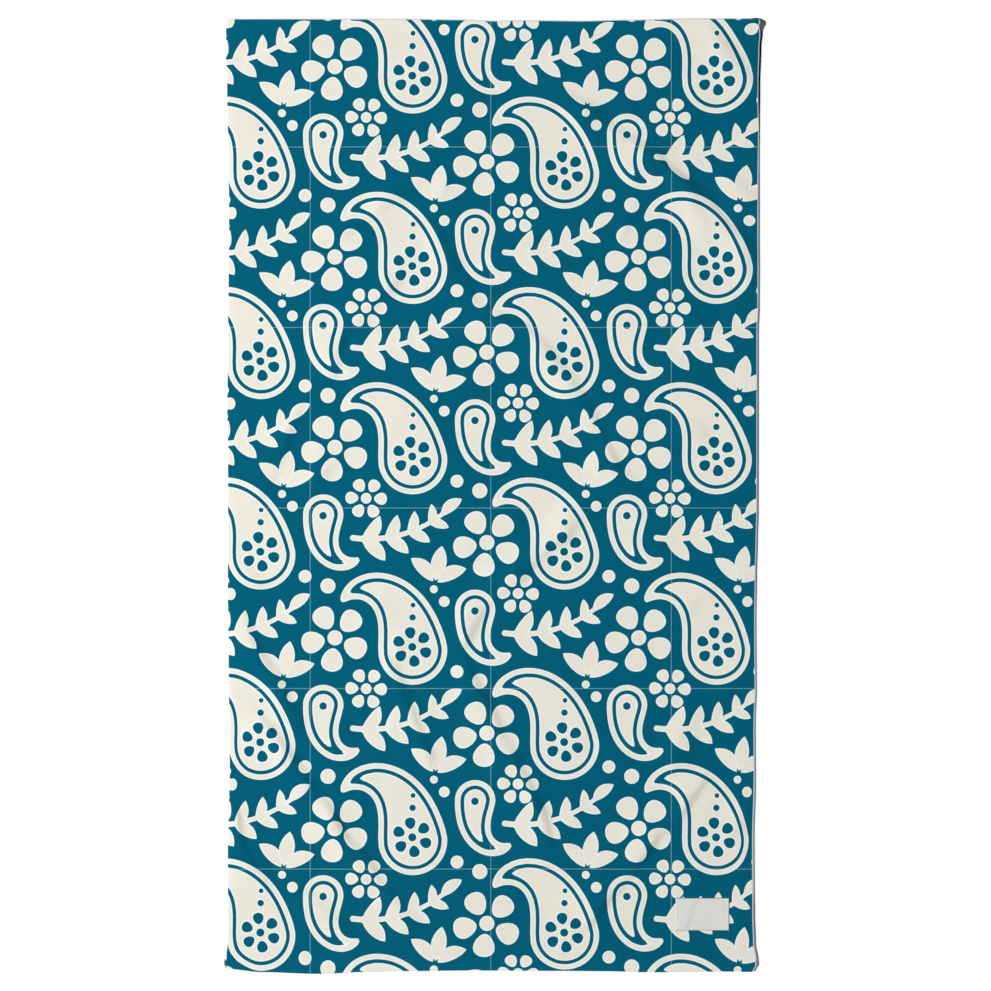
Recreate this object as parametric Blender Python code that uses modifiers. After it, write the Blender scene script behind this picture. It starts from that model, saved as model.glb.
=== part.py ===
# A beach towel lying face up: one hemmed terry sheet with soft creases, and a patch sewn near a corner.
# Metres, +Z up. The origin is on the surface that the towel lies on, under the middle of its box.
# X runs across the towel and Y along it, with the patch at the +X, -Y corner.

from collections import namedtuple

import bpy
import numpy as np

MM = 0.001

# The sheet
TOWEL_WIDTH = 965 * MM
TOWEL_LENGTH = 1730 * MM
SHEET_SHIFT_X = -4.7 * MM        # the hem corners that stick out move the box's middle off the sheet's
SHEET_SHIFT_Y = 0.4 * MM
CLOTH_THICKNESS = 2.6 * MM
HEM_THICKNESS = 3.9 * MM         # turned under, pressed and sewn
CORNER_RADIUS = 9 * MM
EDGE_DEPTH = 45 * MM             # how far in from an edge its unevenness dies away

# The hem's section: thickness at a distance in from the edge, as shares of HEM_THICKNESS
HemStep = namedtuple("HemStep", "inset share")
HEM_SECTION = [
    HemStep(0.0 * MM, 0.40),
    HemStep(1.5 * MM, 0.78),
    HemStep(5.0 * MM, 1.00),
    HemStep(12.0 * MM, 0.97),
    HemStep(24.0 * MM, CLOTH_THICKNESS / HEM_THICKNESS),
]

# The fine grid that the creases are worked out on, and the share of its faces that is kept
FINE_PITCH = 7 * MM
KEPT_FACES = 0.068
LYING = 0.1 * MM                 # what is left less than this above the surface lies on it

# The patch
PATCH_WIDTH = 97 * MM
PATCH_HEIGHT = 59 * MM
PATCH_THICKNESS = 0.8 * MM
PATCH_X = 376.5 * MM
PATCH_Y = -760 * MM
PATCH_GAP = 0.3 * MM
PATCH_EDGE = 0.2 * MM            # rounding of the patch's folded edges
PATCH_LINES = (13, 9)            # grid lines across and along the patch

# Looks: linear colours, and the angle past which an edge of the towel shades as sharp
TEAL = (0.0, 0.112, 0.184)
PALE_GREY = (0.67, 0.66, 0.64)
SHARP_ANGLE = np.radians(35)

# How far each edge of the sheet stands out from a true rectangle, in millimetres.
# "along" is Y for the sides and X for the ends.
Wave = namedtuple("Wave", "along out")
LEFT_EDGE = [
    Wave(850, 1.8), Wave(797, 2.2), Wave(752, -0.2), Wave(533, -3.7), Wave(420, -3.1),
    Wave(292, -1.7), Wave(149, -0.6), Wave(51, -1.9), Wave(-174, -1.5), Wave(-346, -3.2),
    Wave(-428, -4.9), Wave(-519, -4.9), Wave(-564, -3.2), Wave(-641, -1.6), Wave(-807, -1.6),
    Wave(-838, 1.0), Wave(-852, 5.4),
]
RIGHT_EDGE = [
    Wave(869, 6.0), Wave(860, 15.3), Wave(843, 9.0), Wave(815, 6.4), Wave(742, 4.1),
    Wave(622, 3.6), Wave(422, 3.7), Wave(343, 3.6), Wave(299, 1.9), Wave(153, 1.8),
    Wave(-33, 1.5), Wave(-84, 0.1), Wave(-149, -1.6), Wave(-233, -2.5), Wave(-350, -1.6),
    Wave(-418, -3.8), Wave(-519, -3.3), Wave(-621, -5.8), Wave(-756, -5.2), Wave(-814, -3.5),
    Wave(-843, 1.2), Wave(-853, 2.2), Wave(-862, -1.5),
]
TOP_EDGE = [
    Wave(-478, 2.0), Wave(-354, 2.4), Wave(-140, 2.2), Wave(-64, 1.0), Wave(3, -1.2),
    Wave(60, -0.2), Wave(165, -1.2), Wave(240, 0.6), Wave(366, 3.0), Wave(463, 3.4),
]
BOTTOM_EDGE = [
    Wave(-478, -4.9), Wave(-422, 0.7), Wave(-318, 3.9), Wave(-227, 0.4), Wave(-167, -1.0),
    Wave(-47, -2.1), Wave(123, -1.6), Wave(199, -0.9), Wave(295, 1.1), Wave(423, -0.2),
    Wave(470, 0.6),
]

# Each crease is a soft ridge along the cubic through four points, listed from its upper end to its lower.
# Its +X flank is the steep one. All in millimetres.
Crease = namedtuple("Crease", "x0 y0 x1 y1 x2 y2 x3 y3 height steep gentle")
CREASES = [
    # upper right
    Crease(116, 752, 247, 636, 374, 539, 527, 356, 6.5, 18, 55),
    Crease(367, 879, 407, 821, 449, 767, 499, 698, 6.0, 18, 45),
    Crease(360, 639, 403, 592, 450, 549, 499, 510, 3.0, 20, 40),
    Crease(305, 352, 363, 316, 425, 287, 499, 265, 2.5, 20, 40),
    Crease(312, 178, 345, 138, 376, 107, 414, 72, 2.5, 18, 35),
    # middle, from the upper left down to the right
    Crease(-124, 516, -80, 432, -33, 352, 43, 291, 4.5, 18, 45),
    Crease(3, 323, 94, 265, 156, 178, 200, 83, 4.5, 18, 48),
    Crease(174, 142, 207, 83, 236, 29, 272, -40, 4.5, 18, 45),
    # upper left
    Crease(7, 745, -37, 705, -71, 661, -95, 603, 3.0, 22, 38),
    Crease(-116, 610, -175, 545, -251, 498, -356, 450, 3.0, 22, 38),
    Crease(-156, 668, -218, 632, -280, 607, -349, 541, 2.0, 20, 34),
    Crease(-149, 425, -218, 356, -280, 291, -302, 182, 3.5, 22, 45),
    Crease(-349, 189, -378, 116, -404, 47, -458, -26, 4.0, 20, 45),
    Crease(-255, 131, -298, 72, -331, 25, -371, -33, 3.0, 20, 36),
    Crease(-353, 854, -382, 810, -414, 781, -458, 734, 3.0, 20, 36),
    # middle, turning down to the left and back
    Crease(207, 25, 131, -66, 43, -138, -37, -229, 5.0, 22, 48),
    Crease(11, -167, -26, -207, -58, -255, -95, -302, 4.5, 20, 50),
    Crease(-66, -262, -20, -378, 36, -494, 109, -665, 5.5, 18, 50),
    Crease(-204, -265, -178, -345, -149, -422, -106, -531, 5.0, 20, 42),
    # lower left
    Crease(-480, -95, -454, -135, -433, -164, -393, -204, 2.5, 18, 34),
    Crease(-476, -178, -436, -269, -391, -353, -338, -451, 5.0, 18, 42),
    Crease(-465, -360, -382, -465, -298, -589, -186, -731, 6.5, 18, 52),
    Crease(-222, -683, -182, -734, -146, -778, -102, -829, 3.5, 22, 45),
    Crease(-505, -516, -476, -596, -447, -662, -396, -749, 5.0, 18, 38),
    Crease(-382, -680, -324, -745, -262, -803, -178, -858, 4.0, 20, 42),
    # lower right
    Crease(389, -473, 331, -578, 225, -698, 112, -851, 6.0, 18, 55),
    Crease(410, -116, 385, -164, 360, -200, 320, -255, 2.5, 20, 36),
    Crease(389, -356, 363, -418, 334, -473, 294, -542, 3.0, 22, 42),
    Crease(480, -531, 454, -578, 434, -614, 407, -658, 2.5, 18, 34),
]
CREASE_STEPS = 80                # points looked at along each crease
CREASE_FADE = 85 * MM            # length over which each end of a long crease dies away
SHORT_FADE = 0.45                # the same for a short crease, as a share of its length
END_WIDTH = 0.4                  # a crease's width at its ends, as a share of its width
MEETING_POWER = 3                # where creases meet, the cloth is hardly higher than the taller one
HEM_FLATTENS = 0.35              # share of a crease's height that the stiff hem takes away


def smooth_step(value):
    """0 below 0, 1 above 1, and an even S between them."""
    value = np.clip(value, 0.0, 1.0)
    return value * value * (3.0 - 2.0 * value)


def crease_path(crease):
    """Points along the cubic through a crease's four points, and the length run up to each."""
    knots = np.array(crease[:8], dtype=float).reshape(4, 2) * MM
    cubic = np.polyfit(np.linspace(0.0, 1.0, 4), knots, 3)
    share = np.linspace(0.0, 1.0, CREASE_STEPS)[:, None]
    path = ((cubic[0] * share + cubic[1]) * share + cubic[2]) * share + cubic[3]
    run = np.concatenate([[0.0], np.cumsum(np.hypot(*np.diff(path, axis=0).T))])
    return path, run


def crease_height(crease, x, y):
    """Height that one crease gives the points x, y."""
    path, run = crease_path(crease)
    nearest = np.full(x.shape, np.inf)
    step = np.zeros(x.shape, dtype=int)
    for index, (path_x, path_y) in enumerate(path):
        distance = np.hypot(x - path_x, y - path_y)
        closer = distance < nearest
        nearest[closer] = distance[closer]
        step[closer] = index

    along = np.gradient(path, axis=0)[step]
    away = np.column_stack([x, y]) - path[step]
    fade_length = min(CREASE_FADE, SHORT_FADE * run[-1])
    fade = smooth_step(run[step] / fade_length) * smooth_step((run[-1] - run[step]) / fade_length)
    on_steep_side = along[:, 0] * away[:, 1] - along[:, 1] * away[:, 0] > 0
    reach = np.where(on_steep_side, crease.steep, crease.gentle) * MM
    reach = reach * (END_WIDTH + (1.0 - END_WIDTH) * fade)
    flank = np.cos(np.pi / 2 * np.clip(nearest / reach, 0.0, 1.0)) ** 2
    return crease.height * MM * flank * fade


def sheet_height(x, y):
    """Height of the cloth's underside over the points x, y: zero but for the creases."""
    total = np.zeros(x.shape)
    for crease in CREASES:
        total += crease_height(crease, x, y) ** MEETING_POWER
    return total ** (1.0 / MEETING_POWER)


def grid_lines(length):
    """Places of the grid's lines across a length: close together at the hems, even between them."""
    insets = [step.inset for step in HEM_SECTION]
    inner = length - 2 * insets[-1]
    count = round(inner / FINE_PITCH)
    even = insets[-1] + inner * np.arange(1, count) / count
    lines = np.concatenate([insets, even, length - np.array(insets)[::-1]])
    return lines - length / 2


def edge_wave(edge, along):
    """How far an edge stands out at places along it, eased between the table's rows."""
    rows = sorted(edge)
    places = np.array([row.along for row in rows]) * MM
    outs = np.array([row.out for row in rows]) * MM
    left = np.clip(np.searchsorted(places, along, side="right") - 1, 0, len(rows) - 2)
    share = smooth_step((along - places[left]) / (places[left + 1] - places[left]))
    return outs[left] + (outs[left + 1] - outs[left]) * share


def corner_cut(from_corner):
    """How far the rounding of a corner pulls an edge in, at a distance from the corner."""
    left = np.clip(1.0 - from_corner / CORNER_RADIUS, 0.0, 1.0)
    return (1.0 - 0.5 ** 0.5) * CORNER_RADIUS * left ** 2


def outline_shift(side_wave, from_edge, from_corner):
    """Outward shift of points near one edge: the edge's own wave, dying away inwards."""
    fade = 1.0 - smooth_step(from_edge / EDGE_DEPTH)
    return (side_wave - corner_cut(from_corner)) * fade


def hem_share(inset):
    """Thickness at a distance in from the edge, as a share of the hem's."""
    return np.interp(inset, [step.inset for step in HEM_SECTION], [step.share for step in HEM_SECTION])


def make_material(name, color, roughness):
    material = bpy.data.materials.new(name)
    material.use_nodes = True
    shader = material.node_tree.nodes["Principled BSDF"]
    shader.inputs["Base Color"].default_value = (*color, 1.0)
    shader.inputs["Roughness"].default_value = roughness
    shader.inputs["Metallic"].default_value = 0.0
    shader.inputs["Sheen Weight"].default_value = 0.3
    return material


def name_object(obj, name, material, collection):
    """Give an object its name and material, and move it into the towel's collection."""
    obj.name = name
    obj.data.name = name
    obj.data.materials.append(material)
    for other in list(obj.users_collection):
        other.objects.unlink(obj)
    collection.objects.link(obj)


def grid_object(columns, rows):
    """A grid primitive whose lines run through the given places; returns it with its line places."""
    bpy.ops.mesh.primitive_grid_add(x_subdivisions=len(columns) - 1, y_subdivisions=len(rows) - 1, size=2)
    obj = bpy.context.object
    points = np.empty(len(obj.data.vertices) * 3)
    obj.data.vertices.foreach_get("co", points)
    points = points.reshape(-1, 3)
    column = np.rint((points[:, 0] + 1) / 2 * (len(columns) - 1)).astype(int)
    row = np.rint((points[:, 1] + 1) / 2 * (len(rows) - 1)).astype(int)
    return obj, columns[column], rows[row]


def place_points(obj, x, y, z):
    obj.data.vertices.foreach_set("co", np.column_stack([x, y, z]).ravel())
    obj.data.update()


def add_thickness(obj, thickness, weights=None):
    """Thicken a sheet upwards, so that its underside stays as drawn."""
    solidify = obj.modifiers.new("thickness", "SOLIDIFY")
    solidify.thickness = thickness
    solidify.offset = 1.0
    if weights is not None:
        group = obj.vertex_groups.new(name="thickness")
        for index, weight in enumerate(weights):
            group.add([index], float(weight), "REPLACE")
        solidify.vertex_group = group.name


def freeze_on_floor(obj):
    """Apply the modifiers, and lay what is about on the surface right on it."""
    evaluated = obj.evaluated_get(bpy.context.evaluated_depsgraph_get())
    mesh = bpy.data.meshes.new_from_object(evaluated)
    obj.modifiers.clear()
    obj.data = mesh
    points = np.empty(len(mesh.vertices) * 3)
    mesh.vertices.foreach_get("co", points)
    height = points[2::3]
    height[height < LYING] = 0.0
    mesh.vertices.foreach_set("co", points)
    mesh.update()


def make_towel(collection):
    """The sheet: a fine grid takes the outline, hems and creases, and is then thinned where it is flat."""
    obj, flat_x, flat_y = grid_object(grid_lines(TOWEL_WIDTH), grid_lines(TOWEL_LENGTH))
    from_side = TOWEL_WIDTH / 2 - np.abs(flat_x)
    from_end = TOWEL_LENGTH / 2 - np.abs(flat_y)
    side_wave = np.where(flat_x < 0, edge_wave(LEFT_EDGE, flat_y), edge_wave(RIGHT_EDGE, flat_y))
    end_wave = np.where(flat_y < 0, edge_wave(BOTTOM_EDGE, flat_x), edge_wave(TOP_EDGE, flat_x))
    x = flat_x + np.sign(flat_x) * outline_shift(side_wave, from_side, from_end) + SHEET_SHIFT_X
    y = flat_y + np.sign(flat_y) * outline_shift(end_wave, from_end, from_side) + SHEET_SHIFT_Y
    inset = np.minimum(from_side, from_end)
    stiffness = 1.0 - HEM_FLATTENS * (1.0 - smooth_step(inset / HEM_SECTION[-1].inset))
    place_points(obj, x, y, sheet_height(x, y) * stiffness)

    add_thickness(obj, HEM_THICKNESS, hem_share(inset))
    thin = obj.modifiers.new("fewer flat faces", "DECIMATE")
    thin.ratio = KEPT_FACES
    thin.use_collapse_triangulate = True
    freeze_on_floor(obj)
    obj.data.shade_smooth()
    obj.data.set_sharp_from_angle(angle=SHARP_ANGLE)
    obj.modifiers.new("large faces stay flat", "WEIGHTED_NORMAL").keep_sharp = True
    name_object(obj, "towel", make_material("printed terry", TEAL, 0.95), collection)


def make_patch(collection):
    """The sewn patch: a thin closed sheet that follows the cloth under it."""
    columns = np.linspace(-PATCH_WIDTH / 2, PATCH_WIDTH / 2, PATCH_LINES[0])
    rows = np.linspace(-PATCH_HEIGHT / 2, PATCH_HEIGHT / 2, PATCH_LINES[1])
    obj, flat_x, flat_y = grid_object(columns, rows)
    x = flat_x + PATCH_X
    y = flat_y + PATCH_Y
    place_points(obj, x, y, sheet_height(x, y) + CLOTH_THICKNESS + PATCH_GAP)
    add_thickness(obj, PATCH_THICKNESS)
    bevel = obj.modifiers.new("folded edges", "BEVEL")
    bevel.width = PATCH_EDGE
    bevel.segments = 2
    bevel.limit_method = "ANGLE"
    obj.data.shade_smooth()
    name_object(obj, "label", make_material("woven patch", PALE_GREY, 0.7), collection)


def main():
    for old in list(bpy.data.objects):
        bpy.data.objects.remove(old, do_unlink=True)
    collection = bpy.data.collections.new("beach_towel")
    bpy.context.scene.collection.children.link(collection)
    make_towel(collection)
    make_patch(collection)


main()
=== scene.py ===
from functools import reduce
import math
import bpy
import numpy as np
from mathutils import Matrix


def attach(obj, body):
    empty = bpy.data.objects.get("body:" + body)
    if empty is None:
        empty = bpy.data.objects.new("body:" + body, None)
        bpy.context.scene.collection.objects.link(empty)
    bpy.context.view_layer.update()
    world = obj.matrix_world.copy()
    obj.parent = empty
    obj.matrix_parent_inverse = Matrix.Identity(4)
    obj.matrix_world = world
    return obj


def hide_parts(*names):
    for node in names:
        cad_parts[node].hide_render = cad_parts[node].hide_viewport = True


# A printed terry beach towel that lies face up, with turned hems and a bare woven patch.
# Lengths here are in millimetres, as on the cutting table, and become metres in the meshes.

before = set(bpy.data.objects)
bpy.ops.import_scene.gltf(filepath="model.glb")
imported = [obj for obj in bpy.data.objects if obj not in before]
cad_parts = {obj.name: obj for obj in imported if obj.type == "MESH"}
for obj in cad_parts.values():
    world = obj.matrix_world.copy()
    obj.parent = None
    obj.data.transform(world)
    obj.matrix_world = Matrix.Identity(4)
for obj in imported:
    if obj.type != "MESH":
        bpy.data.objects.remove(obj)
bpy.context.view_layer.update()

toMetres = 0.001

towelCloth = {
    "size": (965.0, 1730.0), "shift": (-4.7, 0.4),
    "cloth": 2.6,         # one thickness of terry
    "hem": 3.9,           # pressed and sewn hem
    "hemWidth": 24.0,
    "hemStep": 1.6,       # width of the step underneath, where the hem ends
    "hemRise": 60.0,      # how far in from the hem the cloth takes to sink to the floor
    "hemBack": 25.0,      # how far in the printed side shows on the back
    "nose": 1.4,          # rounding of the folded edge
    "corner": 9.0, "cornerDraw": 0.2929,    # a corner's radius, and the share of it that it is drawn in
    "edgeDepth": 45.0,    # how far in the waves of the edges reach
    "lines": (186, 340),  # grid lines across and along, between those of the rim
    "rimLines": (0.0, 0.35, 0.9, 1.8, 3.2, 5.5, 8.5, 12.0, 16.0, 20.0, 21.5, 23.0, 24.0, 24.8, 25.6),
}

# how far each edge stands out from a true rectangle, as (place along it, distance out)
leftEdge = [
    (850, 1.8), (797, 2.2), (752, -0.2), (533, -3.7), (420, -3.1), (292, -1.7), (149, -0.6), (51, -1.9),
    (-174, -1.5), (-346, -3.2), (-428, -4.9), (-519, -4.9), (-564, -3.2), (-641, -1.6), (-807, -1.6),
    (-838, 1.0), (-852, 5.4)]
rightEdge = [
    (869, 6.0), (860, 15.3), (843, 9.0), (815, 6.4), (742, 4.1), (622, 3.6), (422, 3.7), (343, 3.6),
    (299, 1.9), (153, 1.8), (-33, 1.5), (-84, 0.1), (-149, -1.6), (-233, -2.5), (-350, -1.6), (-418, -3.8),
    (-519, -3.3), (-621, -5.8), (-756, -5.2), (-814, -3.5), (-843, 1.2), (-853, 2.2), (-862, -1.5)]
topEdge = [
    (-478, 2.0), (-354, 2.4), (-140, 2.2), (-64, 1.0), (3, -1.2), (60, -0.2), (165, -1.2), (240, 0.6),
    (366, 3.0), (463, 3.4)]
bottomEdge = [
    (-478, -4.9), (-422, 0.7), (-318, 3.9), (-227, 0.4), (-167, -1.0), (-47, -2.1), (123, -1.6), (199, -0.9),
    (295, 1.1), (423, -0.2), (470, 0.6)]

# each crease: four points from its upper end to its lower, its height, then the reach of its steep
# flank, which faces +X, and of its gentle one
creases = [
    (116, 752, 247, 636, 374, 539, 527, 356, 6.9, 21, 55),
    (367, 879, 407, 821, 449, 767, 499, 698, 6.0, 18, 45),
    (360, 639, 403, 592, 450, 549, 499, 510, 3.0, 20, 40),
    (305, 352, 363, 316, 425, 287, 499, 265, 2.5, 20, 40),
    (312, 178, 345, 138, 376, 107, 414, 72, 2.5, 18, 35),
    (-124, 516, -80, 432, -33, 352, 43, 291, 4.5, 18, 45),
    (3, 323, 94, 265, 156, 178, 200, 83, 4.5, 18, 48),
    (174, 142, 207, 83, 236, 29, 272, -40, 4.5, 18, 45),
    (7, 745, -37, 705, -71, 661, -95, 603, 3.0, 22, 38),
    (-116, 610, -175, 545, -251, 498, -356, 450, 3.0, 22, 38),
    (-156, 668, -218, 632, -280, 607, -349, 541, 2.0, 20, 34),
    (-149, 425, -218, 356, -280, 291, -302, 182, 3.5, 22, 45),
    (-349, 189, -378, 116, -404, 47, -458, -26, 4.0, 20, 45),
    (-255, 131, -298, 72, -331, 25, -371, -33, 3.0, 20, 36),
    (-353, 854, -382, 810, -414, 781, -458, 734, 3.0, 20, 36),
    (207, 25, 131, -66, 43, -138, -37, -229, 5.0, 22, 48),
    (11, -167, -26, -207, -58, -255, -95, -302, 4.5, 20, 50),
    (-66, -262, -20, -378, 36, -494, 109, -665, 5.5, 18, 50),
    (-204, -265, -178, -345, -149, -422, -106, -531, 5.0, 20, 42),
    (-480, -95, -454, -135, -433, -164, -393, -204, 2.5, 18, 34),
    (-476, -178, -436, -269, -391, -353, -338, -451, 5.0, 18, 42),
    (-465, -360, -382, -465, -298, -589, -186, -731, 6.5, 18, 52),
    (-222, -683, -182, -734, -146, -778, -102, -829, 3.5, 22, 45),
    (-505, -516, -476, -596, -447, -662, -396, -749, 5.0, 18, 38),
    (-382, -680, -324, -745, -262, -803, -178, -858, 4.0, 20, 42),
    (389, -473, 331, -578, 225, -698, 112, -851, 5.0, 19, 55),
    (410, -116, 385, -164, 360, -200, 320, -255, 2.5, 20, 36),
    (389, -356, 363, -418, 334, -473, 294, -542, 3.0, 22, 42),
    (480, -531, 454, -578, 434, -614, 407, -658, 2.5, 18, 34)]
# finer ones in the same form: they join the main creases where they meet, and fill in between them
fineCreases = [
    (-55, 396, -22, 344, 23, 305, 75, 279, 3.6, 18, 38),
    (101, -90, 69, -123, 36, -155, 4, -194, 3.6, 18, 38),
    (-61, -272, -55, -311, -35, -344, -9, -383, 3.4, 18, 36),
    (-113, -259, -152, -263, -178, -279, -174, -324, 2.2, 14, 24),
    (-74, 630, -83, 584, -100, 539, -113, 494, 1.7, 16, 28),
    (387, 104, 419, 85, 445, 78, 484, 76, 1.8, 16, 26),
    (445, -318, 428, -346, 408, -378, 387, -415, 1.8, 16, 26),
    (75, -441, 95, -460, 114, -480, 134, -499, 1.3, 14, 22),
    (257, 558, 246, 520, 237, 487, 228, 448, 1.6, 14, 24)]
creaseShape = {
    "pieces": 40, "meeting": 3, "hemFlattens": 0.35,
    "fade": 85.0, "shortFade": 0.45,        # the run in which it rises, or the share of a short one's
    "endWidth": 0.4,                        # of its reach
    "share": 0.86, "widerGentle": 1.3,      # of the table's height and reach
    # waves come as their number, the shortest and the longest
    "wander": 4.0, "wanderWaves": (4, 60.0, 170.0), "wanderSeeds": (3, 4),
    "vary": 0.24, "varyWaves": (5, 40.0, 120.0), "varySeed": 11, "varyLimits": (0.55, 1.35),
}
unevenness = {"height": 0.24, "seed": 7, "waves": (14, 24.0, 190.0)}


def smoothStep(value):
    # an even S from 0 to 1, level at both ends
    value = np.clip(value, 0.0, 1.0)
    return value * value * (3.0 - 2.0 * value)


def edgeOut(rows, along):
    # the table's rows, eased from one to the next by an even S
    rows = np.array(sorted(rows))
    left = np.clip(np.searchsorted(rows[:, 0], along, side="right") - 1, 0, len(rows) - 2)
    share = smoothStep((along - rows[left, 0]) / (rows[left + 1, 0] - rows[left, 0]))
    return rows[left, 1] + (rows[left + 1, 1] - rows[left, 1]) * share


def fromEdges(cloth, across, along):
    # how far in from the nearer side and the nearer end, for arrays and for shader values alike
    return cloth["size"][0] / 2 - abs(across), cloth["size"][1] / 2 - abs(along)


def clothOutline(flatX, flatY):
    # each edge's own wave pushes the cloth out, dies away inwards, and is drawn in at the corners
    fromSide, fromEnd = fromEdges(towelCloth, flatX, flatY)
    corner, depth, draw = towelCloth["corner"], towelCloth["edgeDepth"], towelCloth["cornerDraw"]
    sideOut = np.where(flatX < 0, edgeOut(leftEdge, flatY), edgeOut(rightEdge, flatY))
    endOut = np.where(flatY < 0, edgeOut(bottomEdge, flatX), edgeOut(topEdge, flatX))
    sideOut = sideOut - draw * corner * np.clip(1 - fromEnd / corner, 0, 1) ** 2
    endOut = endOut - draw * corner * np.clip(1 - fromSide / corner, 0, 1) ** 2
    x = flatX + np.sign(flatX) * sideOut * (1 - smoothStep(fromSide / depth)) + towelCloth["shift"][0]
    y = flatY + np.sign(flatY) * endOut * (1 - smoothStep(fromEnd / depth)) + towelCloth["shift"][1]
    return x, y


def seededWaves(x, y, seed, count, shortest, longest):
    # a sum of sine waves that run in every direction, each as high as its share of the longest
    random = np.random.default_rng(seed)
    lengths = np.geomspace(shortest, longest, count)
    ways, starts = random.uniform(0, np.pi, count), random.uniform(0, 2 * np.pi, count)
    total = np.zeros(x.shape)
    for length, way, start in zip(lengths, ways, starts):
        run = x * np.cos(way) + y * np.sin(way)
        total += length / longest * np.sin(2 * np.pi * run / length + start)
    return total


def besideStep(x, y, start, end):
    # for points beside a straight step of a path: how much of the step lies before each, how far off it
    # the point is, and whether it lies on the left
    stepX, stepY = end - start
    ahead = np.clip(((x - start[0]) * stepX + (y - start[1]) * stepY) / (stepX ** 2 + stepY ** 2), 0, 1)
    awayX, awayY = x - start[0] - ahead * stepX, y - start[1] - ahead * stepY
    return ahead, np.hypot(awayX, awayY), stepX * awayY - stepY * awayX > 0


def creaseLift(x, y):
    # a crease is the cubic through its four points; the cloth rises to it as a squared cosine of the
    # distance over the flank's reach, fades at both ends, and creases that meet join by a third-power sum;
    # all of them wander and vary in height with seeded waves
    shape = creaseShape
    vary = shape["vary"] * seededWaves(x, y, shape["varySeed"], *shape["varyWaves"])
    wander = [seededWaves(x, y, seed, *shape["wanderWaves"]) for seed in shape["wanderSeeds"]]
    x, y = x + shape["wander"] * wander[0], y + shape["wander"] * wander[1]
    total = np.zeros(x.shape)
    for row in creases + fineCreases:
        height, steep, gentle = row[8], row[9], row[10] * shape["widerGentle"]
        cubic = np.polyfit(np.linspace(0, 1, 4), np.array(row[:8], dtype=float).reshape(4, 2), 3)
        share = np.linspace(0, 1, shape["pieces"] + 1)[:, None]
        path = ((cubic[0] * share + cubic[1]) * share + cubic[2]) * share + cubic[3]
        run = np.concatenate([[0.0], np.cumsum(np.hypot(*np.diff(path, axis=0).T))])
        low, high = path.min(axis=0) - gentle, path.max(axis=0) + gentle
        near = np.flatnonzero((x > low[0]) & (x < high[0]) & (y > low[1]) & (y < high[1]))
        nearX, nearY = x[near], y[near]
        nearest, runHere = np.full(len(near), np.inf), np.zeros(len(near))
        onSteep = np.zeros(len(near), dtype=bool)
        for k in range(shape["pieces"]):
            ahead, away, onLeft = besideStep(nearX, nearY, path[k], path[k + 1])
            closer = away < nearest
            nearest[closer], onSteep[closer] = away[closer], onLeft[closer]
            runHere[closer] = (run[k] + ahead * (run[k + 1] - run[k]))[closer]
        fadeLength = min(shape["fade"], shape["shortFade"] * run[-1])
        fade = smoothStep(runHere / fadeLength) * smoothStep((run[-1] - runHere) / fadeLength)
        reach = np.where(onSteep, steep, gentle) * (shape["endWidth"] + (1 - shape["endWidth"]) * fade)
        flank = np.cos(np.pi / 2 * np.clip(nearest / reach, 0, 1)) ** 2
        total[near] += (height * flank * fade) ** shape["meeting"]
    return total ** (1 / shape["meeting"]) * shape["share"] * np.clip(1 + vary, *shape["varyLimits"])


def foldedEdge(inset, thickness, nose):
    # lower and upper height of a sheet whose edge is a half ellipse as deep as nose
    bulge = np.sqrt(1 - np.clip(1 - inset / nose, 0, 1) ** 2)
    return thickness / 2 * (1 - bulge), thickness / 2 * (1 + bulge)


def clothHeights(flatX, flatY, x, y):
    # the hem lies on the floor; inside it the cloth starts level with the hem's face and sinks gently
    inset = np.minimum(*fromEdges(towelCloth, flatX, flatY))
    pastHem = inset - towelCloth["hemWidth"]
    flattened = creaseShape["hemFlattens"] * (1 - smoothStep(inset / towelCloth["hemWidth"]))
    lift = creaseLift(x, y) * (1 - flattened)
    low, top = foldedEdge(inset, towelCloth["hem"], towelCloth["nose"])
    sunk = smoothStep(pastHem / towelCloth["hemRise"])
    step = towelCloth["hem"] - towelCloth["cloth"]
    uneven = unevenness["height"] * seededWaves(x, y, unevenness["seed"], *unevenness["waves"])
    top = top - step * sunk + uneven * sunk
    low = low + step * (1 - sunk) * np.clip(pastHem / towelCloth["hemStep"], 0, 1)
    return lift + low, lift + top


def clothSurfaces(flatX, flatY):
    x, y = clothOutline(flatX, flatY)
    return (x, y, *clothHeights(flatX, flatY, x, y))


def addObject(name, data, at=(0.0, 0.0, 0.0), tilt=0.0):
    # tilt leans it towards -X, in degrees
    thing = bpy.data.objects.new(name, data)
    thing.location, thing.rotation_euler = at, (0.0, -math.radians(tilt), 0.0)
    bpy.context.scene.collection.objects.link(thing)
    return thing


def meshFromFaces(name, points, *faces):
    # each array has a face in a row, in which a corner below zero is left out
    mesh = bpy.data.meshes.new(name)
    corners = np.concatenate([rows[rows >= 0] for rows in faces]).astype(np.int32)
    sizes = np.concatenate([(rows >= 0).sum(axis=1) for rows in faces])
    starts = np.concatenate([[0], np.cumsum(sizes)[:-1]]).astype(np.int32)
    mesh.vertices.add(len(points))
    mesh.vertices.foreach_set("co", (points * toMetres).astype(np.float32).ravel())
    mesh.loops.add(len(corners))
    mesh.loops.foreach_set("vertex_index", corners)
    mesh.polygons.add(len(sizes))
    mesh.polygons.foreach_set("loop_start", starts)
    mesh.polygons.foreach_set("use_smooth", np.ones(len(sizes), dtype=bool))
    mesh.update(calc_edges=True)
    mesh.validate()
    return addObject(name, mesh)


def storeVectors(piece, name, *values):
    stored = piece.data.attributes.new(name, "FLOAT_VECTOR", "POINT")
    stored.data.foreach_set("vector", np.stack(values, 1).astype(np.float32).ravel())


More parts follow.
